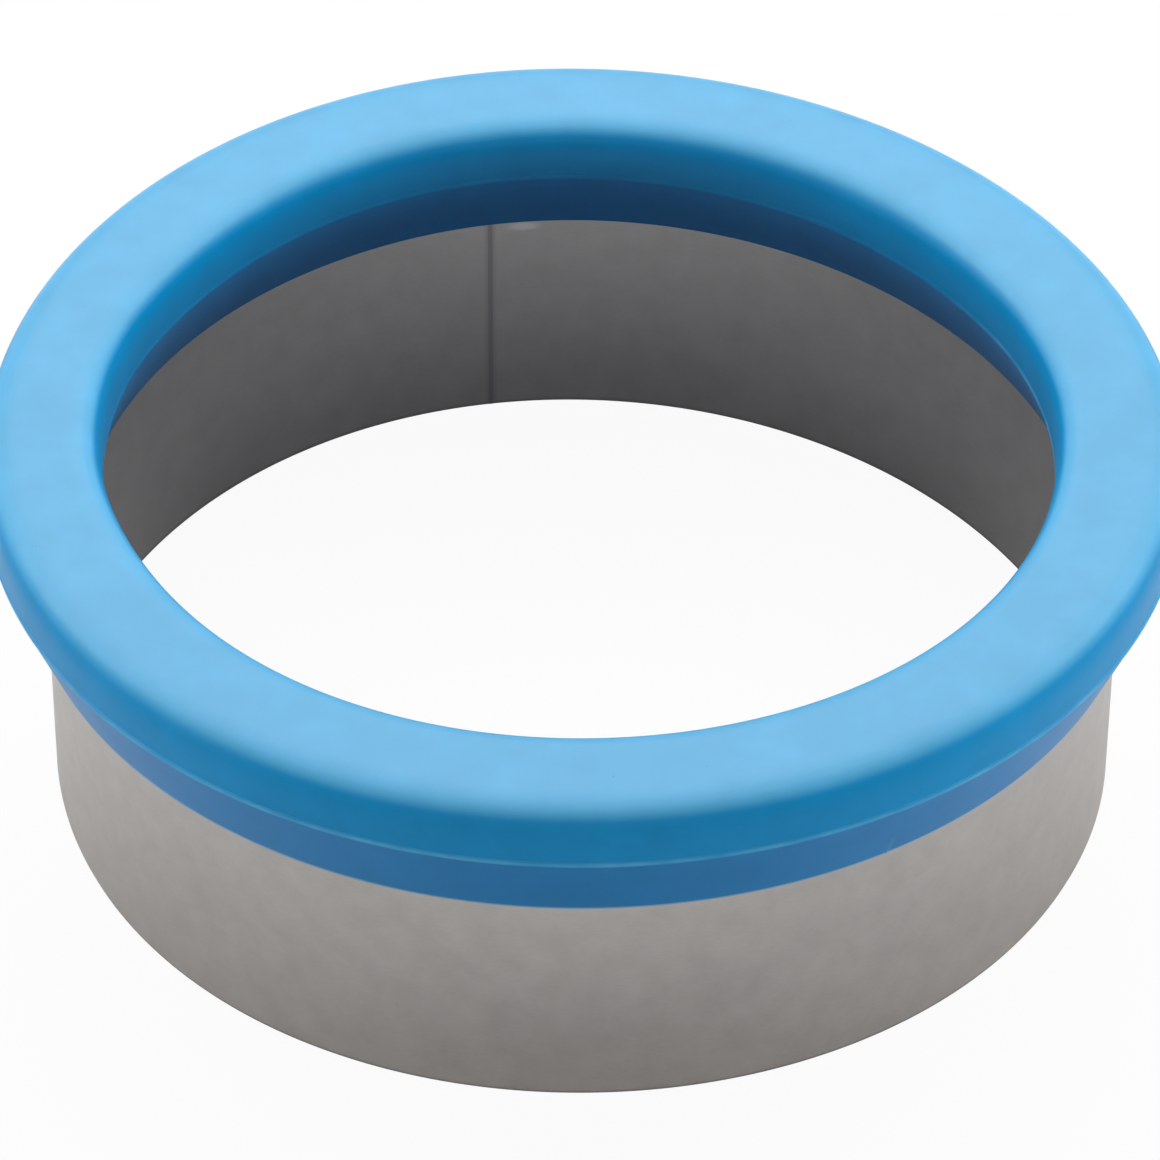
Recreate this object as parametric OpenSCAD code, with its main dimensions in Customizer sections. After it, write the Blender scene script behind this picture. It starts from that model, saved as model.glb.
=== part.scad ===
// Round biscuit cutter: a welded stainless steel band with a soft moulded grip ring on its top edge.
// The origin is the centre of the cutting edge, +Z points up to the grip, and sizes are in millimetres.

/* [Band] */
// Outer diameter of the steel band
band_d = 88.9; // [50:0.1:130]
// Thickness of the steel strip
band_wall = 0.45; // [0.3:0.05:1]
// Height of the steel strip, from the cutting edge to the top edge inside the grip
band_h = 31.75; // [24:0.25:60]
// Height of the bevel on the outside of the cutting edge
bevel_h = 0.4; // [0.1:0.05:1.5]
// Depth of that bevel into the strip
bevel_w = 0.15; // [0.05:0.01:0.25]

/* [Seam] */
// Width of the butt weld between the strip's ends
weld_w = 0.5; // [0.3:0.05:2]
// Direction of the weld, counter-clockwise from +X
weld_angle = 100.5; // [0:0.5:359.5]

/* [Grip] */
// Thickness of the flange, from the mould line to the flat top
flange_t = 5.15; // [4.6:0.05:9]
// How far the flange stands out from the band
flange_out = 4.6; // [3.5:0.05:9]
// How far the flange stands in from the band
flange_in = 5.45; // [3.5:0.05:9]
// Radius of the flange's round top corners
corner_r = 2.2; // [1:0.1:5]
// Height of the tapered skirt below the mould line
skirt_h = 7.15; // [3:0.05:9]
// How far the skirt's lower rim stands out from the band
skirt_out = 1.6; // [0.8:0.05:3]
// How far the skirt's lower rim stands in from the band
skirt_in = 2.2; // [0.8:0.05:3]
// Thickness of the grip above the band's top edge
roof_t = 2.55; // [1.5:0.05:5]
// Gap on each side of the band in the grip's channel
channel_gap = 0.05; // [0.02:0.01:0.2]
// Height of the raised mould line
mould_line_h = 0.35; // [0.1:0.05:0.8]
// How far the mould line stands proud
mould_line_out = 0.1; // [0.05:0.01:0.3]

/* [Hidden] */
$fn = 180;

steel_colour = [0.62, 0.61, 0.60];
weld_colour = [0.40, 0.38, 0.37];
grip_colour = [0.36, 0.67, 0.88];

// Faces of the band
band_ro = band_d / 2;
band_ri = band_ro - band_wall;

// The weld spans this angle of the ring
weld_deg = 2 * asin(weld_w / (band_ro + band_ri));

// The channel's roof seats on the band's top edge, and the grip's heights follow from it
channel_z = band_h;
top_z = channel_z + roof_t;
mould_line_z = top_z - flange_t;
rim_z = mould_line_z - skirt_h;

// Radii of the grip, measured from the faces of the band
flange_ro = band_ro + flange_out;
flange_ri = band_ri - flange_in;
rim_ro = band_ro + skirt_out;
rim_ri = band_ri - skirt_in;

// A corner is never rounder than its flange allows
corner = min(corner_r, flange_t - mould_line_h / 2, (flange_ro - flange_ri) / 2 - 0.5);

// Section of the strip, with the bevel of its cutting edge
module band_section() {
    polygon([
        [band_ri, 0],
        [band_ro - bevel_w, 0],
        [band_ro, bevel_h],
        [band_ro, band_h],
        [band_ri, band_h]
    ]);
}

// Flange and skirt in one outline, its top corners cut straight where the corner circles go
module grip_outline() {
    polygon([
        [rim_ri, rim_z],
        [rim_ro, rim_z],
        [flange_ro, mould_line_z],
        [flange_ro, top_z - corner],
        [flange_ro - corner, top_z],
        [flange_ri + corner, top_z],
        [flange_ri, top_z - corner],
        [flange_ri, mould_line_z]
    ]);
}

// Round top corners of the flange
module corner_circles() {
    for (r = [flange_ri + corner, flange_ro - corner])
        translate([r, top_z - corner])
            circle(r = corner);
}

// Raised line where the halves of the mould met, inside and outside
module mould_lines() {
    translate([flange_ri - mould_line_out, mould_line_z - mould_line_h / 2])
        square([flange_ro - flange_ri + 2 * mould_line_out, mould_line_h]);
}

// Channel that the band sits in
module channel() {
    channel_h = channel_z - rim_z;
    translate([band_ri - channel_gap, rim_z])
        square([band_wall + 2 * channel_gap, channel_h]);
}

// Strip of steel rolled into a ring, open by the width of its weld
module cutting_band() {
    color(steel_colour)
        rotate([0, 0, weld_angle + weld_deg / 2])
            rotate_extrude(angle = 360 - weld_deg)
                band_section();
}

// Butt weld, ground flush, that closes the ring
module seam_weld() {
    color(weld_colour)
        rotate([0, 0, weld_angle - weld_deg / 2])
            rotate_extrude(angle = weld_deg)
                band_section();
}

// Soft moulded ring pressed over the band's top edge
module grip_ring() {
    color(grip_colour)
        rotate_extrude()
            difference() {
                union() {
                    grip_outline();
                    corner_circles();
                    mould_lines();
                }
                channel();
            }
}

cutting_band();
seam_weld();
grip_ring();
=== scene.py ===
"""Looks of a round biscuit cutter: a satin steel band, its seam weld and a soft blue grip ring.

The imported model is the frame. Every length is in metres, the cutting edge lies on z = 0 and the
ring's axis is the Z axis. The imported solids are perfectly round. The pieces made here keep their
sizes and add the finish, the fine edges and the slight out-of-roundness of the real thing.
"""

import logging
import math
from collections.abc import Callable, Sequence
from dataclasses import dataclass
from enum import Enum

import bpy
from mathutils import Matrix, Vector


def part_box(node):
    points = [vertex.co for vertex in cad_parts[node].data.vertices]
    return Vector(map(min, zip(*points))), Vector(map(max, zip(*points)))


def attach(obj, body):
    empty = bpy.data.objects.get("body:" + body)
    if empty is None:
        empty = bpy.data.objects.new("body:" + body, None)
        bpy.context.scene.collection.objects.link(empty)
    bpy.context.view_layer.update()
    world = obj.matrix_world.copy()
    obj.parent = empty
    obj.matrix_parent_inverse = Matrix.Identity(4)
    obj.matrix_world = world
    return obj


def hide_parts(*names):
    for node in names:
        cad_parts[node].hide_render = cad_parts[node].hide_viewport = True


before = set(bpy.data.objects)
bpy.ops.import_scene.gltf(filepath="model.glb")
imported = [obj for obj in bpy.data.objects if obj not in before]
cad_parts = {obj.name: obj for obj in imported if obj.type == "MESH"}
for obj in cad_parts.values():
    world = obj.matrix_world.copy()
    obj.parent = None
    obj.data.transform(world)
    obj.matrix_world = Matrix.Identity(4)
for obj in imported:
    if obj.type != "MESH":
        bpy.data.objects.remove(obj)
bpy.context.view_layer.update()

MM = 0.001
BODY = "root"
PHOTO_WIDTH = 1160
SENSOR_WIDTH = 36.0
SHARP_EDGE = math.radians(28.0)  # faces that meet at more than this keep a crisp edge between them
PAINTED_INSIDE_SHADE = (0.69, 0.69, 0.7)  # painted shade: what the steel's inner face keeps of red, green and blue, darker as if shaded inside the ring
BUMP_DEPTH = 0.02 * MM
SPOT_CORE = 0.4  # share of a pinhole's or speck's radius that has its full colour

Point = tuple[float, float]
Span = tuple[float, float]
Tree = bpy.types.NodeTree
Socket = bpy.types.NodeSocket
Link = Socket | float | Sequence[float]

log = logging.getLogger("biscuit_cutter")


def linear(hex_colour: str) -> tuple[float, float, float, float]:
    """Turns an sRGB hex colour into the linear colour that a shader takes.

    Args:
        hex_colour: A colour such as "#279BDC".

    Returns:
        Red, green, blue and an alpha of 1, all linear.
    """
    levels = [int(hex_colour[i:i + 2], 16) / 255 for i in (1, 3, 5)]
    red, green, blue = (v / 12.92 if v <= 0.04045 else ((v + 0.055) / 1.055) ** 2.4 for v in levels)
    return red, green, blue, 1.0


def add_node(tree: Tree, kind: str, inputs: dict[str | int, Link] | None = None,
             **settings: object) -> bpy.types.Node:
    """Adds a node with its settings, and fills its inputs with links or values.

    Args:
        tree: The node tree to add to.
        kind: Blender's type name of the node.
        inputs: For each input's name or number, an output socket to link or a value to set.
        **settings: Attributes of the node itself.

    Returns:
        The new node.
    """
    node = tree.nodes.new(kind)
    for name, value in settings.items():
        setattr(node, name, value)
    for name, value in (inputs or {}).items():
        if isinstance(value, bpy.types.NodeSocket):
            tree.links.new(value, node.inputs[name])
        else:
            node.inputs[name].default_value = value
    return node


def new_material(name: str) -> tuple[bpy.types.Material, Tree]:
    """Makes an empty node material.

    Args:
        name: The material's name.

    Returns:
        The material and its cleared node tree.
    """
    material = bpy.data.materials.new(name)
    material.use_nodes = True
    material.node_tree.nodes.clear()
    return material, material.node_tree


def facing_inwards(tree: Tree, place: Socket) -> Socket:
    """Adds nodes that tell a ring's inner face from its outer one.

    Args:
        tree: The node tree to add to.
        place: The point on the piece.

    Returns:
        1 where the surface faces the ring's axis, and 0 elsewhere.
    """
    normal = add_node(tree, "ShaderNodeTexCoord").outputs["Normal"]
    outwards = add_node(tree, "ShaderNodeVectorMath", {0: place, 1: (1.0, 1.0, 0.0)},
                        operation="MULTIPLY").outputs[0]
    facing = add_node(tree, "ShaderNodeVectorMath", {0: outwards, 1: normal},
                      operation="DOT_PRODUCT").outputs["Value"]
    return add_node(tree, "ShaderNodeMath", {0: facing, 1: 0.0}, operation="LESS_THAN").outputs[0]


def scaled_inside(tree: Tree, place: Socket, face: Socket, shade: Link) -> Socket:
    """Adds nodes that scale a colour or strength on a ring's inner face; where a colour is darkened there,
    this is painted shade.

    Args:
        tree: The node tree to add to.
        place: The point on the piece.
        face: The colour or strength on the outer face.
        shade: What the inner face keeps, of red, green and blue or of all alike.

    Returns:
        The colour or strength on both faces.
    """
    is_inside = facing_inwards(tree, place)
    duller = add_node(tree, "ShaderNodeVectorMath", {0: face, 1: shade}, operation="MULTIPLY").outputs[0]
    return add_node(tree, "ShaderNodeMix", {"Factor": is_inside, "A": face, "B": duller},
                    data_type="RGBA").outputs["Result"]


def beside_line(tree: Tree, place: Socket, angle: float) -> tuple[Socket, Socket, Socket]:
    """Adds nodes that measure from an upright line on the ring, such as its weld.

    Args:
        tree: The node tree to add to.
        place: The point on the piece.
        angle: The line's angle round the axis.

    Returns:
        The point turned so that the line lies over the X axis, its X, and how far aside of the line it is.
    """
    turned_back = add_node(tree, "ShaderNodeVectorRotate", {"Vector": place, "Angle": -angle},
                           rotation_type="Z_AXIS").outputs[0]
    axes = add_node(tree, "ShaderNodeSeparateXYZ", {0: turned_back}).outputs
    aside = add_node(tree, "ShaderNodeMath", {0: axes["Y"]}, operation="ABSOLUTE").outputs[0]
    return turned_back, axes["X"], aside


def scattered_spots(tree: Tree, place: Socket, spacing: float, radius: float, strength: float) -> Socket:
    """Adds nodes for small scattered spots with soft edges.

    Args:
        tree: The node tree to add to.
        place: The point on the piece.
        spacing: Size of the cells that hold one spot each.
        radius: Radius at which a spot ends.
        strength: What a spot's core gives.

    Returns:
        The strength inside the spots, and 0 outside them.
    """
    cells = add_node(tree, "ShaderNodeTexVoronoi", {"Vector": place, "Scale": 1 / spacing})
    return add_node(tree, "ShaderNodeMapRange", {
        "Value": cells.outputs["Distance"], "From Min": radius / spacing,
        "From Max": SPOT_CORE * radius / spacing, "To Max": strength}).outputs[0]


def arc(centre: Point, radii: Point, start: float, end: float, steps: int,
        fullness: float = 2.0) -> list[Point]:
    """Points along an arc in the section's plane.

    Args:
        centre: Radius and height of the arc's centre.
        radii: Half-axes across and up.
        start: First angle in degrees, counter-clockwise from straight outwards.
        end: Last angle in degrees.
        steps: Number of straight pieces.
        fullness: 2 for an ellipse, and more for a fuller arc that starts and ends gently.

    Returns:
        The points from start to end, both included.
    """
    points = []
    for i in range(steps + 1):
        angle = math.radians(start + (end - start) * i / steps)
        shares = (math.cos(angle), math.sin(angle))
        across, up = (math.copysign(abs(share) ** (2 / fullness), share) for share in shares)
        points.append((centre[0] + radii[0] * across, centre[1] + radii[1] * up))
    return points


def clamp(share: float) -> float:
    """Keeps a share between 0 and 1."""
    return min(1.0, max(0.0, share))


@dataclass(frozen=True)
class OutOfRound:
    """Slow waves in the radius of a thin rolled band, which its soft grip follows.

    The weld holds two springy ends together, so such a band is never truly round.
    """

    oval: float = 0.185 * MM
    oval_turn: float = math.radians(-38.0)
    trefoil: float = 0.286 * MM
    trefoil_turn: float = math.radians(-18.5)

    def at(self, angle: float) -> float:
        """Radial offset in metres at an angle round the axis."""
        oval = self.oval * math.cos(2 * (angle - self.oval_turn))
        return oval + self.trefoil * math.cos(3 * (angle - self.trefoil_turn))


@dataclass(frozen=True)
class Give:
    """A stretch round the ring where the soft grip gives way from its moulded shape.

    The flatter it is, the more evenly it gives within its reach and the sooner it ends beyond.
    """

    angle: float
    reach: float
    depth: float
    flatness: int = 4

    def at(self, angle: float) -> float:
        """How far the grip gives way at an angle round the axis."""
        away = math.remainder(angle - self.angle, math.tau) / self.reach
        return self.depth / (1 + away ** self.flatness)


def turned(name: str, section: Sequence[Point], angles: Sequence[float], closed: bool,
           place: Callable[[float, float, float], Point]) -> bpy.types.Object:
    """Sweeps a closed section round the Z axis.

    Args:
        name: Name of the new object.
        section: Radius and height of the section's corners, counter-clockwise.
        angles: Angles round the axis at which a section stands.
        closed: True joins the last section to the first, False caps both ends.
        place: Moves a point: takes angle, radius and height, and returns radius and height.

    Returns:
        The object, linked to the scene.
    """
    count = len(section)
    verts = []
    for angle in angles:
        for r, z in section:
            radius, height = place(angle, r, z)
            verts.append((radius * math.cos(angle), radius * math.sin(angle), height))
    faces = []
    for i in range(len(angles) if closed else len(angles) - 1):
        here, there = i * count, (i + 1) % len(angles) * count
        for j in range(count):
            k = (j + 1) % count
            faces.append((here + j, there + j, there + k, here + k))
    if not closed:
        last = (len(angles) - 1) * count
        faces.append(tuple(range(count)))
        faces.append(tuple(last + j for j in reversed(range(count))))
    mesh = bpy.data.meshes.new(name)
    mesh.from_pydata(verts, [], faces)
    mesh.validate()
    mesh.shade_smooth()
    mesh.set_sharp_from_angle(angle=SHARP_EDGE)
    piece = bpy.data.objects.new(name, mesh)
    bpy.context.scene.collection.objects.link(piece)
    normals = piece.modifiers.new("flat_faces_stay_flat", "WEIGHTED_NORMAL")
    normals.keep_sharp = True
    return piece


@dataclass(frozen=True)
class SatinStainless:
    """Stainless strip, cold rolled to a satin face.

    The rolls leave a fine grain round the band, so reflections smear up and down, and the face
    looks grey and soft, with faint cloudy patches from handling and a few dark pinholes. Heat
    has dulled it beside the weld. A pale spot on the inside near the top of the joint is a painted
    highlight, the whole inner face is painted a shade darker as painted shade, and a darker strip
    along the cutting edge is painted shade too. It is a metal, so its IOR stays as it is.
    """

    seam_angle: float
    seam_width: float
    colour: str = "#DED9D4"
    cloud_colour: str = "#D2CDC8"
    # painted shade: the strip along the cutting edge is darker, as the floor's shadow is reflected there
    edge_shade_colour: str = "#BDB9B6"
    pit_colour: str = "#6E6A67"
    heat_colour: str = "#C8C4C2"
    # painted highlight: a pale spot on the inner face near the top of the joint
    highlight_spot_colour: str = "#F6F2F0"
    roughness: float = 0.36
    roughness_spread: float = 0.04
    anisotropy: float = 0.5
    grain_width: float = 0.15 * MM  # real grain is 0.03 mm, drawn coarser so that it shows
    grain_length: float = 0.7 * MM
    grain_detail: float = 1.0
    grain_share: float = 0.3  # the grain's part in the shade of the face, beside the clouds'
    grain_bump: float = 0.05
    cloud_size: float = 2.6 * MM
    cloud_detail: float = 3.0
    cloud_share: float = 0.7
    shade_range: Span = (0.3, 0.7)  # levels of clouds and grain where the face is darkest and palest
    edge_shade_height: float = 0.55 * MM
    pit_spacing: float = 7.0 * MM
    pit_radius: float = 0.1 * MM
    heat_reach: float = 0.7 * MM
    highlight_spot_place: Point = (-3.0 * MM, 19.8 * MM)
    highlight_spot_size: Point = (1.9 * MM, 0.6 * MM)
    highlight_spot_core: float = 0.3

    def material(self) -> bpy.types.Material:
        """Makes the band's material.

        Returns:
            The material.
        """
        material, tree = new_material("satin_cold_rolled_stainless")
        place = add_node(tree, "ShaderNodeTexCoord").outputs["Object"]
        along, across = 1 / self.grain_length, 1 / self.grain_width
        grain_space = add_node(tree, "ShaderNodeVectorMath", {0: place, 1: (along, along, across)},
                               operation="MULTIPLY").outputs[0]
        grain = add_node(tree, "ShaderNodeTexNoise", {"Vector": grain_space, "Scale": 1.0,
                                                      "Detail": self.grain_detail}).outputs["Fac"]
        clouds = add_node(tree, "ShaderNodeTexNoise", {"Vector": place, "Scale": 1 / self.cloud_size,
                                                       "Detail": self.cloud_detail}).outputs["Fac"]
        # painted shade: the inner face is darkened, as if shaded inside the ring
        colour = scaled_inside(tree, place, self.outer_face(tree, place, grain, clouds), PAINTED_INSIDE_SHADE)
        rough = add_node(tree, "ShaderNodeMapRange", {
            "Value": clouds, "To Min": self.roughness - self.roughness_spread,
            "To Max": self.roughness + self.roughness_spread}).outputs[0]
        bump = add_node(tree, "ShaderNodeBump", {"Height": grain, "Strength": self.grain_bump,
                                                 "Distance": BUMP_DEPTH})
        tangent = add_node(tree, "ShaderNodeTangent", direction_type="RADIAL", axis="Z").outputs[0]
        metal = add_node(tree, "ShaderNodeBsdfPrincipled", {
            "Base Color": colour, "Metallic": 1.0, "Roughness": rough, "Anisotropic": self.anisotropy,
            "Normal": bump.outputs[0], "Tangent": tangent})
        add_node(tree, "ShaderNodeOutputMaterial", {"Surface": metal.outputs[0]})
        return material

    def outer_face(self, tree: Tree, place: Socket, grain: Socket, clouds: Socket) -> Socket:
        """Adds the colour of the band's outer face: grain, clouds, pinholes, joint and the painted shade
        along the cutting edge.

        Args:
            tree: The node tree to add to.
            place: The point on the piece.
            grain: The grain's pattern.
            clouds: The clouds' pattern.

        Returns:
            The colour.
        """
        faint_grain = add_node(tree, "ShaderNodeMath", {0: grain, 1: self.grain_share},
                               operation="MULTIPLY").outputs[0]
        mixed = add_node(tree, "ShaderNodeMath", {0: clouds, 1: self.cloud_share, 2: faint_grain},
                         operation="MULTIPLY_ADD").outputs[0]
        darkest, palest = self.shade_range
        shade = add_node(tree, "ShaderNodeMapRange", {"Value": mixed, "From Min": darkest,
                                                      "From Max": palest}).outputs[0]
        face = add_node(tree, "ShaderNodeMix", {"Factor": shade, "A": linear(self.cloud_colour),
                                                "B": linear(self.colour)}, data_type="RGBA").outputs["Result"]
        pit = scattered_spots(tree, place, self.pit_spacing, self.pit_radius, 1.0)
        pitted = add_node(tree, "ShaderNodeMix", {"Factor": pit, "A": face, "B": linear(self.pit_colour)},
                          data_type="RGBA").outputs["Result"]
        jointed = self.beside_weld(tree, place, pitted)
        # painted shade: darker towards the cutting edge
        height = add_node(tree, "ShaderNodeSeparateXYZ", {0: place}).outputs["Z"]
        edge = add_node(tree, "ShaderNodeMapRange", {"Value": height, "From Min": self.edge_shade_height,
                                                     "From Max": 0.0},
                        interpolation_type="SMOOTHSTEP").outputs[0]
        return add_node(tree, "ShaderNodeMix", {"Factor": edge, "A": jointed, "B": linear(self.edge_shade_colour)},
                        data_type="RGBA").outputs["Result"]

    def beside_weld(self, tree: Tree, place: Socket, face: Socket) -> Socket:
        """Adds the dull strip along the weld and the painted highlight spot on the inner face near its top.

        Args:
            tree: The node tree to add to.
            place: The point on the piece.
            face: The colour away from the weld.

        Returns:
            The colour with both added.
        """
        turned_back, outwards, aside = beside_line(tree, place, self.seam_angle)
        this_side = add_node(tree, "ShaderNodeMath", {0: outwards, 1: 0.0},
                             operation="GREATER_THAN").outputs[0]
        dull = add_node(tree, "ShaderNodeMapRange", {"Value": aside, "From Min": self.heat_reach,
                                                     "From Max": self.seam_width / 2, "To Max": this_side},
                        interpolation_type="SMOOTHSTEP").outputs[0]
        heated = add_node(tree, "ShaderNodeMix", {"Factor": dull, "A": face, "B": linear(self.heat_colour)},
                          data_type="RGBA").outputs["Result"]
        # painted highlight: a pale spot on the inner face near the top of the joint
        offset = add_node(tree, "ShaderNodeVectorMath", {0: turned_back, 1: (0.0, *self.highlight_spot_place)},
                          operation="SUBTRACT").outputs[0]
        shares = (0.0, 1 / self.highlight_spot_size[0], 1 / self.highlight_spot_size[1])
        scaled = add_node(tree, "ShaderNodeVectorMath", {0: offset, 1: shares},
                          operation="MULTIPLY").outputs[0]
        far = add_node(tree, "ShaderNodeVectorMath", {0: scaled}, operation="LENGTH").outputs["Value"]
        this_face = add_node(tree, "ShaderNodeMath", {0: this_side, 1: facing_inwards(tree, place)},
                             operation="MULTIPLY").outputs[0]
        spot = add_node(tree, "ShaderNodeMapRange", {"Value": far, "From Min": 1.0,
                                                     "From Max": self.highlight_spot_core, "To Max": this_face},
                        interpolation_type="SMOOTHSTEP").outputs[0]
        return add_node(tree, "ShaderNodeMix", {"Factor": spot, "A": heated,
                                                "B": linear(self.highlight_spot_colour)},
                        data_type="RGBA").outputs["Result"]


@dataclass(frozen=True)
class GroundWeld:
    """Weld metal, ground flush with the strip.

    It is darkest along its middle, where the ripples of the bead are left, and runs out into the
    colour of the strip at both sides. It is a metal, so its IOR stays as it is.
    """

    angle: float
    width: float
    colour: str = "#AEA8A8"
    side_colour: str = "#CFC9C5"
    dark_reach: float = 0.35  # share of the width that is dark on each side of the middle
    roughness: float = 0.42
    ripple: float = 0.4 * MM
    ripple_detail: float = 2.0
    ripple_bump: float = 0.3

    def material(self) -> bpy.types.Material:
        """Makes the weld's material.

        Returns:
            The material.
        """
        material, tree = new_material("ground_weld_metal")
        place = add_node(tree, "ShaderNodeTexCoord").outputs["Object"]
        *_, aside = beside_line(tree, place, self.angle)
        ripples = add_node(tree, "ShaderNodeTexNoise", {"Vector": place, "Scale": 1 / self.ripple,
                                                        "Detail": self.ripple_detail}).outputs["Fac"]
        side = add_node(tree, "ShaderNodeMapRange", {"Value": aside, "From Min": self.dark_reach * self.width,
                                                     "From Max": self.width / 2}).outputs[0]
        bead = add_node(tree, "ShaderNodeMix", {"Factor": side, "A": linear(self.colour),
                                                "B": linear(self.side_colour)},
                        data_type="RGBA").outputs["Result"]
        # painted shade: the weld's inner face is darkened, as if shaded inside the ring
        colour = scaled_inside(tree, place, bead, PAINTED_INSIDE_SHADE)
        bump = add_node(tree, "ShaderNodeBump", {"Height": ripples, "Strength": self.ripple_bump,
                                                 "Distance": BUMP_DEPTH})
        metal = add_node(tree, "ShaderNodeBsdfPrincipled", {
            "Base Color": colour, "Metallic": 1.0, "Roughness": self.roughness, "Normal": bump.outputs[0]})
        add_node(tree, "ShaderNodeOutputMaterial", {"Surface": metal.outputs[0]})
        return material


@dataclass(frozen=True)
class MouldedSoftPlastic:
    """Soft blue plastic moulded in a fine matte texture.

    The texture spreads reflections into a soft bloom. The flat top is painted a little paler than
    the sides, painted light from above, and the skirt is painted a deeper blue below the mould line,
    painted shade under the flange. The mould line carries a painted highlight, paler in patches, and
    so do the thin flash that the mould left along the outer rim and the upright mark on the skirt. A
    few specks of dust sit on the ring.
    """

    line_height: float
    line_width: float
    rim: float
    band_radius: float
    mark_angle: float
    mark_height: float
    mark_width: float
    colour: str = "#0095D4"
    top_light_colour: str = "#59B5E6"
    skirt_shade_colour: str = "#0084C8"
    line_highlight_colour: str = "#62BFEC"
    rim_highlight_colour: str = "#A4CCE2"
    speck_colour: str = "#2B86B8"
    roughness: float = 0.35
    ior: float = 1.5
    specular: float = 0.32
    grain: float = 0.25 * MM  # the mould's grain is 0.1 mm, drawn coarser so that it shows
    grain_detail: float = 2.0
    grain_bump: float = 0.15
    mottle_size: float = 4 * MM
    mottle_detail: float = 4.0
    mottle_gain: Span = (0.88, 1.12)
    paler_from: float = 0.43  # upward share of the normal, 0 on the sides and 1 on the flat top; the top's painted light fades in from here
    palest_at: float = 0.87
    skirt_fade: Span = (0.4, 0.6)  # shares of the mould line's height, down from its middle, over which the skirt's painted shade fades in
    line_fade: Span = (0.55, 0.2)  # shares of the same height, to both sides of its middle
    line_patches: float = 3 * MM
    patch_range: Span = (0.3, 0.7)  # levels of the patches where the line's painted highlight is weakest and strongest
    patch_strength: Span = (0.3, 0.85)
    inner_line: float = 0.1  # the inner mould line's painted highlight is faint, but for its right side, where it is full
    right_line_highlight: float = 1.0
    right_highlight_from: float = 31.0 * MM
    right_highlight_at: float = 36.0 * MM
    flash_height: float = 0.22 * MM
    flash_core: float = 0.4  # share of the flash's height that has its full colour
    rim_highlight_strength: float = 0.65
    mark_highlight_strength: float = 0.6
    speck_spacing: float = 3.5 * MM
    speck_radius: float = 0.14 * MM
    speck_strength: float = 0.5

    def material(self) -> bpy.types.Material:
        """Makes the grip's material.

        Returns:
            The material.
        """
        material, tree = new_material("moulded_soft_plastic")
        place = add_node(tree, "ShaderNodeTexCoord").outputs["Object"]
        axes = add_node(tree, "ShaderNodeSeparateXYZ", {0: place}).outputs
        moulded = self.moulded_face(tree, place, axes["Z"])
        with_line_highlight = self.painted_line_highlight(tree, place, axes, moulded)
        with_rim_highlight = self.painted_rim_highlight(tree, place, axes["Z"], with_line_highlight)
        with_mark_highlight = self.painted_mark_highlight(tree, place, axes["Z"], with_rim_highlight)
        speck = scattered_spots(tree, place, self.speck_spacing, self.speck_radius, self.speck_strength)
        colour = add_node(tree, "ShaderNodeMix", {"Factor": speck, "A": with_mark_highlight,
                                                  "B": linear(self.speck_colour)},
                          data_type="RGBA").outputs["Result"]
        texture = add_node(tree, "ShaderNodeTexNoise", {"Vector": place, "Scale": 1 / self.grain,
                                                        "Detail": self.grain_detail}).outputs["Fac"]
        bump = add_node(tree, "ShaderNodeBump", {"Height": texture, "Strength": self.grain_bump,
                                                 "Distance": BUMP_DEPTH})
        plastic = add_node(tree, "ShaderNodeBsdfPrincipled", {
            "Base Color": colour, "Roughness": self.roughness, "IOR": self.ior,
            "Specular IOR Level": self.specular, "Normal": bump.outputs[0]})
        add_node(tree, "ShaderNodeOutputMaterial", {"Surface": plastic.outputs[0]})
        return material

    def moulded_face(self, tree: Tree, place: Socket, height: Socket) -> Socket:
        """Adds the plastic's colour: sides, top painted paler as painted light, skirt painted deeper as
        painted shade, all faintly mottled.

        Args:
            tree: The node tree to add to.
            place: The point on the piece.
            height: The point's height.

        Returns:
            The colour.
        """
        mottle = add_node(tree, "ShaderNodeTexNoise", {"Vector": place, "Scale": 1 / self.mottle_size,
                                                       "Detail": self.mottle_detail}).outputs["Fac"]
        least, most = self.mottle_gain
        gain = add_node(tree, "ShaderNodeMapRange", {"Value": mottle, "To Min": least,
                                                     "To Max": most}).outputs[0]
        normal = add_node(tree, "ShaderNodeTexCoord").outputs["Normal"]
        upward = add_node(tree, "ShaderNodeSeparateXYZ", {0: normal}).outputs["Z"]
        # painted light: faces that point up are painted paler, as if lit from above
        top_light_share = add_node(tree, "ShaderNodeMapRange", {"Value": upward, "From Min": self.paler_from,
                                                       "From Max": self.palest_at},
                          interpolation_type="SMOOTHSTEP").outputs[0]
        plain = add_node(tree, "ShaderNodeMix", {"Factor": top_light_share, "A": linear(self.colour),
                                                 "B": linear(self.top_light_colour)},
                         data_type="RGBA").outputs["Result"]
        # painted shade: the skirt below the mould line is painted a deeper blue, as if shaded by the flange
        first, full = (self.line_height - share * self.line_width for share in self.skirt_fade)
        under = add_node(tree, "ShaderNodeMapRange", {"Value": height, "From Min": first,
                                                      "From Max": full}).outputs[0]
        deep = add_node(tree, "ShaderNodeMix", {"Factor": under, "A": plain, "B": linear(self.skirt_shade_colour)},
                        data_type="RGBA").outputs["Result"]
        return add_node(tree, "ShaderNodeVectorMath", {0: deep, "Scale": gain}, operation="SCALE").outputs[0]

    def painted_line_highlight(self, tree: Tree, place: Socket, axes: bpy.types.NodeOutputs, face: Socket) -> Socket:
        """Adds a painted highlight along the mould line, in patches, faint on its inner side but for its
        right.

        Args:
            tree: The node tree to add to.
            place: The point on the piece.
            axes: The point's X, Y and Z.
            face: The colour away from the line.

        Returns:
            The colour with the painted highlight.
        """
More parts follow.
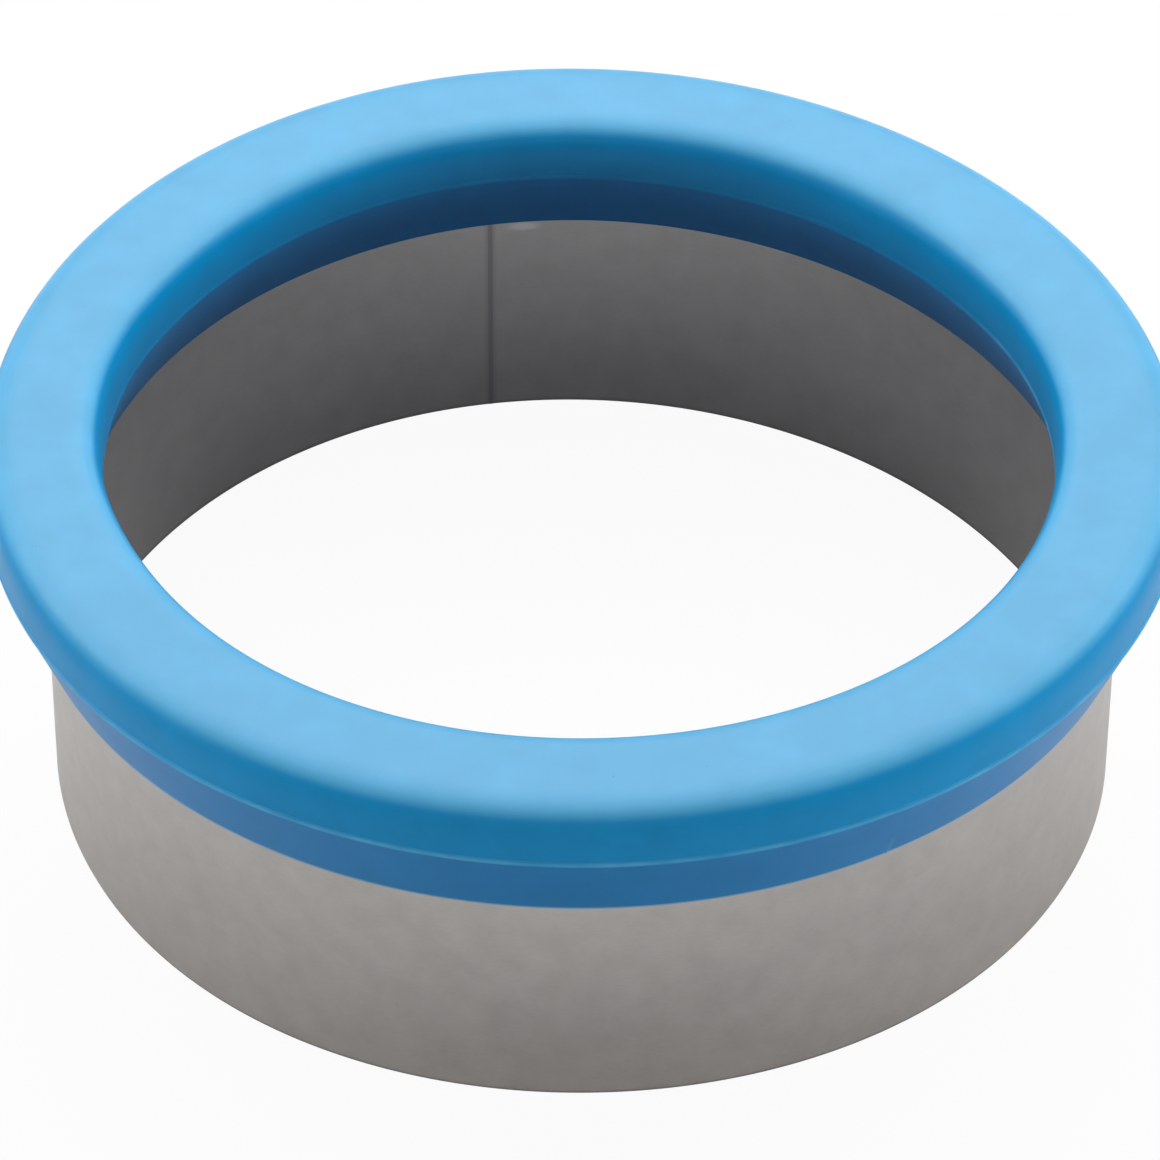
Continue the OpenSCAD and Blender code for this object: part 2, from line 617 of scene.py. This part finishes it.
        # painted highlight: the mould line is painted paler, as if it caught the light
        off = add_node(tree, "ShaderNodeMath", {0: axes["Z"], 1: self.line_height},
                       operation="SUBTRACT").outputs[0]
        reach = add_node(tree, "ShaderNodeMath", {0: off}, operation="ABSOLUTE").outputs[0]
        first, full = (share * self.line_width for share in self.line_fade)
        near = add_node(tree, "ShaderNodeMapRange", {"Value": reach, "From Min": first,
                                                     "From Max": full}).outputs[0]
        patches = add_node(tree, "ShaderNodeTexNoise", {"Vector": place,
                                                        "Scale": 1 / self.line_patches}).outputs["Fac"]
        faint_level, full_level = self.patch_range
        weakest, strongest = self.patch_strength
        patchy_share = add_node(tree, "ShaderNodeMapRange", {"Value": patches, "From Min": faint_level, "From Max": full_level,
                                                     "To Min": weakest, "To Max": strongest}).outputs[0]
        line_highlight_share = add_node(tree, "ShaderNodeMath", {0: near, 1: patchy_share}, operation="MULTIPLY").outputs[0]
        kept = add_node(tree, "ShaderNodeMapRange", {
            "Value": axes["X"], "From Min": self.right_highlight_from, "From Max": self.right_highlight_at,
            "To Min": self.inner_line, "To Max": self.right_line_highlight}).outputs[0]
        strength = scaled_inside(tree, place, line_highlight_share, kept)
        return add_node(tree, "ShaderNodeMix", {"Factor": strength, "A": face, "B": linear(self.line_highlight_colour)},
                        data_type="RGBA").outputs["Result"]

    def painted_rim_highlight(self, tree: Tree, place: Socket, height: Socket, face: Socket) -> Socket:
        """Adds a painted highlight along the outer rim's flash.

        Args:
            tree: The node tree to add to.
            place: The point on the piece.
            height: The point's height.
            face: The colour above the rim.

        Returns:
            The colour with the painted highlight.
        """
        # painted highlight: a pale band along the outer rim's flash
        low = add_node(tree, "ShaderNodeMapRange", {
            "Value": height, "From Min": self.rim + self.flash_height,
            "From Max": self.rim + self.flash_core * self.flash_height,
            "To Max": self.rim_highlight_strength}).outputs[0]
        strength = scaled_inside(tree, place, low, (0.0, 0.0, 0.0))
        return add_node(tree, "ShaderNodeMix", {"Factor": strength, "A": face,
                                                "B": linear(self.rim_highlight_colour)},
                        data_type="RGBA").outputs["Result"]

    def painted_mark_highlight(self, tree: Tree, place: Socket, height: Socket, face: Socket) -> Socket:
        """Adds a painted highlight along the upright mark that the mould's joint leaves on the outer skirt.

        Args:
            tree: The node tree to add to.
            place: The point on the piece.
            height: The point's height.
            face: The colour away from the mark.

        Returns:
            The colour with the mark's painted highlight, which fades upwards.
        """
        _, outwards, aside = beside_line(tree, place, self.mark_angle)
        this_side = add_node(tree, "ShaderNodeMath", {0: outwards, 1: self.band_radius},
                             operation="GREATER_THAN").outputs[0]
        line = add_node(tree, "ShaderNodeMapRange", {"Value": aside, "From Min": self.mark_width,
                                                     "From Max": 0.0, "To Max": this_side},
                        interpolation_type="SMOOTHSTEP").outputs[0]
        fade = add_node(tree, "ShaderNodeMapRange", {"Value": height, "From Min": self.rim + self.mark_height,
                                                     "From Max": self.rim,
                                                     "To Max": self.mark_highlight_strength}).outputs[0]
        # painted highlight: a pale line along the mark, fading upwards
        strength = add_node(tree, "ShaderNodeMath", {0: line, 1: fade}, operation="MULTIPLY").outputs[0]
        return add_node(tree, "ShaderNodeMix", {"Factor": strength, "A": face, "B": linear(self.line_highlight_colour)},
                        data_type="RGBA").outputs["Result"]


@dataclass
class CuttingBand:
    """The rolled steel strip with its bevelled cutting edge, open by the width of the weld."""

    outer_radius: float
    height: float
    shape: OutOfRound
    wall: float = 0.45 * MM
    bevel_height: float = 0.4 * MM
    bevel_depth: float = 0.15 * MM
    seam_angle: float = math.radians(100.5)
    seam_width: float = 0.5 * MM
    steps: int = 360

    @property
    def finish(self) -> SatinStainless:
        """The band's finish, which knows where the weld is."""
        return SatinStainless(seam_angle=self.seam_angle, seam_width=self.seam_width)

    @property
    def inner_radius(self) -> float:
        """Radius of the band's inner face."""
        return self.outer_radius - self.wall

    @property
    def half_seam(self) -> float:
        """Half the angle that the weld takes up."""
        return math.asin(self.seam_width / (self.outer_radius + self.inner_radius))

    def section(self) -> list[Point]:
        """Lays out the strip's section.

        Returns:
            Radius and height of its corners, counter-clockwise.
        """
        return [
            (self.inner_radius, 0.0),
            (self.outer_radius - self.bevel_depth, 0.0),
            (self.outer_radius, self.bevel_height),
            (self.outer_radius, self.height),
            (self.inner_radius, self.height),
        ]

    def build(self) -> bpy.types.Object:
        """Makes the band's mesh.

        Returns:
            The band.
        """
        start = self.seam_angle + self.half_seam
        sweep = math.tau - 2 * self.half_seam
        angles = [start + sweep * i / self.steps for i in range(self.steps + 1)]
        return turned("band", self.section(), angles, False, lambda a, r, z: (r + self.shape.at(a), z))

    def dress(self, piece: bpy.types.Object) -> None:
        """Gives the band its finish and ties it to the frame.

        Args:
            piece: The band.
        """
        piece.data.materials.append(self.finish.material())
        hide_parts("cutting_band")
        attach(piece, BODY)


@dataclass
class SeamWeld:
    """The butt weld between the strip's ends, with a faint crown on the inside."""

    band: CuttingBand
    crown: float = 0.02 * MM
    steps: int = 12

    @property
    def finish(self) -> GroundWeld:
        """The weld's finish, laid out across its width."""
        return GroundWeld(angle=self.band.seam_angle, width=self.band.seam_width)

    def place(self, angle: float, r: float, z: float) -> Point:
        """Lifts the weld's inner face to a low crown between its two edges.

        Args:
            angle: Angle round the axis.
            r: Radius in the section.
            z: Height in the section.

        Returns:
            The point's radius and height.
        """
        share = (angle - self.band.seam_angle) / self.band.half_seam
        is_inner = r < self.band.inner_radius + self.band.wall / 2
        rise = self.crown * (1 - share * share) if is_inner else 0.0
        return r + self.band.shape.at(angle) - rise, z

    def build(self) -> bpy.types.Object:
        """Makes the weld's mesh.

        Returns:
            The weld.
        """
        half = self.band.half_seam
        angles = [self.band.seam_angle - half + 2 * half * i / self.steps for i in range(self.steps + 1)]
        return turned("weld", self.band.section(), angles, False, self.place)

    def dress(self, piece: bpy.types.Object) -> None:
        """Gives the weld its finish and ties it to the frame.

        Args:
            piece: The weld.
        """
        piece.data.materials.append(self.finish.material())
        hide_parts("seam_weld")
        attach(piece, BODY)


@dataclass
class GripRing:
    """The moulded ring on the band's top edge: flat top, round corners, mould line and skirt."""

    band: CuttingBand
    top: float
    rim: float
    flange_thickness: float = 5.0 * MM
    flange_out: float = 4.6 * MM
    flange_in: float = 5.45 * MM
    corner: float = 4.1 * MM
    corner_fullness: float = 3.8
    skirt_out: float = 1.66 * MM
    skirt_in: float = 2.2 * MM
    rim_round: float = 0.1 * MM
    flash_drop: float = 0.12 * MM
    channel_gap: float = 0.05 * MM
    mould_line_height: float = 0.52 * MM
    mould_line_out: float = 0.1 * MM
    inner_line_out: float = 0.03 * MM
    mark_angle: float = math.radians(-58.45)
    mark_height: float = 3.3 * MM
    mark_width: float = 0.2 * MM
    mark_out: float = 0.05 * MM
    skirt_droop: Give = Give(math.radians(167.0), math.radians(58.0), 0.34 * MM, flatness=8)
    wall_bows: tuple[Give, ...] = (
        Give(math.radians(176.0), math.radians(22.0), 0.82 * MM),
        Give(math.radians(12.0), math.radians(16.0), 0.36 * MM),
    )
    bow_blend: float = 2.8 * MM
    steps: int = 360
    lip_steps: int = 5
    skirt_steps: int = 8
    bead_steps: int = 8
    corner_steps: int = 36
    mark_steps: int = 12

    @property
    def mould_line(self) -> float:
        """Height of the mould line's middle."""
        return self.top - self.flange_thickness

    @property
    def finish(self) -> MouldedSoftPlastic:
        """The grip's finish, which knows where the mould line and the mark are."""
        return MouldedSoftPlastic(
            line_height=self.mould_line, line_width=self.mould_line_height, rim=self.rim,
            band_radius=self.band.outer_radius, mark_angle=self.mark_angle, mark_height=self.mark_height,
            mark_width=self.mark_width)

    def skirt_side(self, foot: Point, head: Point) -> list[Point]:
        """Divides the outer skirt's straight side, more finely towards its foot, where the mark stands.

        Args:
            foot: The side's lowest point.
            head: The side's highest point.

        Returns:
            The points between the two.
        """
        points = []
        for i in range(1, self.skirt_steps):
            share = (i / self.skirt_steps) ** 2
            points.append((foot[0] + (head[0] - foot[0]) * share, foot[1] + (head[1] - foot[1]) * share))
        return points

    def section(self) -> list[Point]:
        """Lays out the ring's section.

        Returns:
            Radius and height of its corners, counter-clockwise from the skirt's inner rim.
        """
        outer = self.band.outer_radius + self.flange_out
        inner = self.band.inner_radius - self.flange_in
        rim_outer = self.band.outer_radius + self.skirt_out
        rim_inner = self.band.inner_radius - self.skirt_in
        slot_inner = self.band.inner_radius - self.channel_gap
        slot_outer = self.band.outer_radius + self.channel_gap
        line, half_line = self.mould_line, self.mould_line_height / 2
        lip = (self.rim_round, self.rim_round)
        corner = (self.corner, self.corner)
        corner_height = self.top - self.corner
        flash_height = self.rim - self.flash_drop + self.rim_round
        slope = math.degrees(math.atan2(self.flange_out - self.skirt_out, line - self.rim))
        points = arc((rim_inner + self.rim_round, self.rim + self.rim_round), lip, 180 + slope, 270,
                     self.lip_steps)
        points += [(slot_inner, self.rim), (slot_inner, self.band.height)]
        points += [(slot_outer, self.band.height), (slot_outer, self.rim)]
        points += arc((rim_outer - self.rim_round, flash_height), lip, -90, -slope, self.lip_steps)
        points += self.skirt_side(points[-1], (outer, line - half_line))
        points += arc((outer, line), (self.mould_line_out, half_line), -90, 90, self.bead_steps)
        points += arc((outer - self.corner, corner_height), corner, 0, 90, self.corner_steps,
                      self.corner_fullness)
        points += arc((inner + self.corner, corner_height), corner, 90, 180, self.corner_steps,
                      self.corner_fullness)
        points += arc((inner, line), (self.inner_line_out, half_line), 90, 270, self.bead_steps)
        return points

    def droop(self, angle: float, z: float) -> float:
        """How far the soft skirt hangs on one side: most at its rim, and nothing at the mould line."""
        return self.skirt_droop.at(angle) * clamp((self.mould_line - z) / (self.mould_line - self.rim))

    def bow(self, angle: float, r: float, z: float) -> float:
        """Finds how far the soft inner wall gives way outwards at its two ends.

        Args:
            angle: Angle round the axis.
            r: Radius in the section.
            z: Height in the section.

        Returns:
            The distance: in full from the mould line up, and nothing at the rim and in the channel.
        """
        share = (self.band.inner_radius - self.channel_gap - r) / self.bow_blend
        above = (z - self.rim) / (self.mould_line - self.rim)
        return clamp(share) * clamp(above) * sum(give.at(angle) for give in self.wall_bows)

    def mark(self, angle: float, r: float, z: float) -> float:
        """Finds how far the mould's small upright mark stands out.

        Args:
            angle: Angle round the axis.
            r: Radius in the section.
            z: Height in the section.

        Returns:
            The distance: most at the outer skirt's rim, and nothing elsewhere on the ring.
        """
        outside_channel = r > self.band.outer_radius + 2 * self.channel_gap
        if not outside_channel or z >= self.rim + self.mark_height:
            return 0.0
        aside = (angle - self.mark_angle) * r / self.mark_width
        fade = 1 - (z - self.rim) / self.mark_height
        return self.mark_out * fade * math.exp(-aside * aside)

    def place(self, angle: float, r: float, z: float) -> Point:
        """Follows the band's shape, with the mark, the bows and the droop."""
        radius = r + self.band.shape.at(angle) + self.mark(angle, r, z) + self.bow(angle, r, z)
        return radius, z - self.droop(angle, z)

    def build(self) -> bpy.types.Object:
        """Makes the ring's mesh, with more sections where the mark stands.

        Returns:
            The grip.
        """
        even = [self.mark_angle + math.tau * i / self.steps for i in range(self.steps)]
        reach = math.tau / self.steps
        numbers = [i for i in range(-self.mark_steps + 1, self.mark_steps) if i]
        fine = [self.mark_angle + reach * i / self.mark_steps for i in numbers]
        wrapped = [a if a >= self.mark_angle else a + math.tau for a in fine]
        return turned("grip", self.section(), sorted(even + wrapped), True, self.place)

    def dress(self, piece: bpy.types.Object) -> None:
        """Gives the grip its finish and ties it to the frame.

        Args:
            piece: The grip.
        """
        piece.data.materials.append(self.finish.material())
        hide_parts("grip_ring")
        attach(piece, BODY)


class Ray(Enum):
    """Kinds of ray that the stage treats apart from plain light."""

    CAMERA = "Is Camera Ray"
    GLOSSY = "Is Glossy Ray"
    TRANSMISSION = "Is Transmission Ray"


class Hang(Enum):
    """How a softbox hangs over the table."""

    LEVEL = "facing straight down"
    AIMED = "facing the cutter"


@dataclass(frozen=True)
class Softbox:
    """A rectangular soft lamp.

    Its place is given in metres from the middle of the cutter: to the right, to the back and up.
    Radiance is what a mirror would show, where 1 is the white of the background.
    """

    name: str
    place: tuple[float, float, float]
    width: float
    depth: float
    radiance: float
    hang: Hang = Hang.LEVEL
    in_gloss: bool = True

    def build(self, target: Vector) -> None:
        """Makes the lamp over the target, turned to it if it is aimed.

        Args:
            target: The middle of the cutter.
        """
        lamp = bpy.data.lights.new(self.name, "AREA")
        lamp.shape = "RECTANGLE"
        lamp.size, lamp.size_y = self.width, self.depth
        lamp.energy = self.radiance * math.pi * self.width * self.depth
        away = Vector(self.place)
        holder = bpy.data.objects.new(self.name, lamp)
        holder.location = target + away
        if self.hang is Hang.AIMED:
            holder.rotation_euler = away.to_track_quat("Z", "Y").to_euler()
        holder.visible_camera = False
        holder.visible_glossy = self.in_gloss
        bpy.context.scene.collection.objects.link(holder)


@dataclass
class Studio:
    """White ground, plain soft light and the camera at the photograph's angle."""

    floor_size: float = 6.0
    card_albedo: float = 0.39
    paper_glow: float = 0.94
    paper_albedo: float = 0.06
    mirrored_glow: float = 0.045
    mirrored_albedo: float = 0.75
    softboxes: tuple[Softbox, ...] = (
        Softbox("overhead", (0.0, 0.2, 0.8), 0.8, 0.4, 1.55),
        Softbox("overhead_middle", (0.0, 0.0, 0.8), 0.3, 0.3, 1.4),
        Softbox("overhead_back", (0.0, 0.6, 0.8), 0.7, 0.4, 2.5),
        Softbox("left_above", (-0.8, 0.49, 0.8), 0.8, 0.6, 3.0),
        Softbox("right_above", (0.8, 0.49, 0.8), 0.8, 0.6, 3.0),
        Softbox("behind", (0.0, 0.71, 0.55), 0.5, 0.35, 2.8, Hang.AIMED),
        Softbox("behind_left", (-0.37, 0.58, 0.58), 0.35, 0.45, 0.8, Hang.AIMED),
        Softbox("behind_right", (0.37, 0.58, 0.58), 0.35, 0.45, 0.8, Hang.AIMED),
        Softbox("low_front", (0.0, -1.0, 0.07), 1.0, 0.12, 4.8, Hang.AIMED, in_gloss=False),
        Softbox("low_left", (-0.98, -0.17, 0.09), 1.0, 0.15, 9.8, Hang.AIMED, in_gloss=False),
        Softbox("low_right", (0.98, -0.17, 0.09), 1.0, 0.15, 12.3, Hang.AIMED, in_gloss=False),
    )
    camera_back: float = 432.86 * MM
    camera_height: float = 386.67 * MM
    camera_pitch: float = math.radians(40.5403)
    camera_roll: float = math.radians(0.2753)
    camera_clips: Span = (0.05, 20.0)
    focal_pixels: float = 6821.9

    def seen_by(self, tree: Tree, rays: Sequence[Ray]) -> Socket:
        """Adds nodes that give 1 for the given kinds of ray and 0 for all others.

        Args:
            tree: The node tree to add to.
            rays: The kinds of ray.

        Returns:
            The output socket.
        """
        path = add_node(tree, "ShaderNodeLightPath")
        result = path.outputs[rays[0].value]
        for ray in rays[1:]:
            result = add_node(tree, "ShaderNodeMath", {0: result, 1: path.outputs[ray.value]},
                              operation="MAXIMUM").outputs[0]
        return result

    def ground(self, tree: Tree, glow: float, albedo: float) -> Socket:
        """Adds a shader for matt card with a share of its own white.

        Args:
            tree: The node tree to add to.
            glow: The share of white that no shadow reaches.
            albedo: The share of the light that it sends back.

        Returns:
            The shader's output socket.
        """
        white = add_node(tree, "ShaderNodeEmission", {"Color": (glow, glow, glow, 1.0)})
        card = add_node(tree, "ShaderNodeBsdfDiffuse", {"Color": (albedo, albedo, albedo, 1.0)})
        return add_node(tree, "ShaderNodeAddShader", {0: white.outputs[0], 1: card.outputs[0]}).outputs[0]

    def build_floor(self) -> None:
        """Lays the floor: white paper for the camera, pale card in reflections, grey card for light."""
        half = self.floor_size / 2
        corners = [(-half, -half, 0), (half, -half, 0), (half, half, 0), (-half, half, 0)]
        mesh = bpy.data.meshes.new("floor")
        mesh.from_pydata(corners, [], [(0, 1, 2, 3)])
        floor = bpy.data.objects.new("floor", mesh)
        bpy.context.scene.collection.objects.link(floor)
        material, tree = new_material("pale_card")
        card = self.ground(tree, 0.0, self.card_albedo)
        mirrored = self.ground(tree, self.mirrored_glow, self.mirrored_albedo)
        paper = self.ground(tree, self.paper_glow, self.paper_albedo)
        in_gloss = self.seen_by(tree, (Ray.GLOSSY,))
        in_view = self.seen_by(tree, (Ray.CAMERA, Ray.TRANSMISSION))
        lower = add_node(tree, "ShaderNodeMixShader", {0: in_gloss, 1: card, 2: mirrored}).outputs[0]
        both = add_node(tree, "ShaderNodeMixShader", {0: in_view, 1: lower, 2: paper}).outputs[0]
        add_node(tree, "ShaderNodeOutputMaterial", {"Surface": both})
        mesh.materials.append(material)

    def build_world(self) -> None:
        """Sets a white surround, which the camera and the reflections show and which gives no other light."""
        world = bpy.data.worlds.new("white_surround")
        world.use_nodes = True
        tree = world.node_tree
        tree.nodes.clear()
        seen = self.seen_by(tree, tuple(Ray))
        sky = add_node(tree, "ShaderNodeBackground", {"Color": (1.0, 1.0, 1.0, 1.0), "Strength": seen})
        add_node(tree, "ShaderNodeOutputWorld", {"Surface": sky.outputs[0]})
        bpy.context.scene.world = world

    def build_camera(self) -> None:
        """Sets the camera where the photograph was taken from."""
        data = bpy.data.cameras.new("camera")
        data.sensor_width = SENSOR_WIDTH
        data.lens = self.focal_pixels / PHOTO_WIDTH * SENSOR_WIDTH
        data.clip_start, data.clip_end = self.camera_clips
        camera = bpy.data.objects.new("camera", data)
        pitch = Matrix.Rotation(math.pi / 2 - self.camera_pitch, 4, "X")
        roll = Matrix.Rotation(self.camera_roll, 4, "Z")
        camera.matrix_world = Matrix.Translation((0, -self.camera_back, self.camera_height)) @ (pitch @ roll)
        bpy.context.scene.collection.objects.link(camera)
        bpy.context.scene.camera = camera

    def build(self, target: Vector) -> None:
        """Builds the whole studio.

        Args:
            target: The middle of the cutter, which the lamps stand round.
        """
        bpy.context.scene.view_settings.view_transform = "Standard"
        self.build_floor()
        self.build_world()
        self.build_camera()
        for softbox in self.softboxes:
            softbox.build(target)


def main() -> None:
    """Builds the cutter's pieces and the studio in order, and reports each piece."""
    logging.basicConfig(level=logging.INFO, format="%(name)s: %(message)s")
    band_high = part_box("cutting_band")[1]
    grip_low, grip_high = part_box("grip_ring")
    band = CuttingBand(outer_radius=band_high.y, height=band_high.z, shape=OutOfRound())
    grip = GripRing(band=band, top=grip_high.z, rim=grip_low.z)
    for part in (band, SeamWeld(band=band), grip):
        piece = part.build()
        part.dress(piece)
        log.info("%s: %d faces, material %s", piece.name, len(piece.data.polygons),
                 piece.data.materials[0].name)
    studio = Studio()
    studio.build(Vector((0.0, 0.0, grip_high.z / 2)))
    log.info("studio: %d softboxes", len(studio.softboxes))


if __name__ == "__main__":
    main()
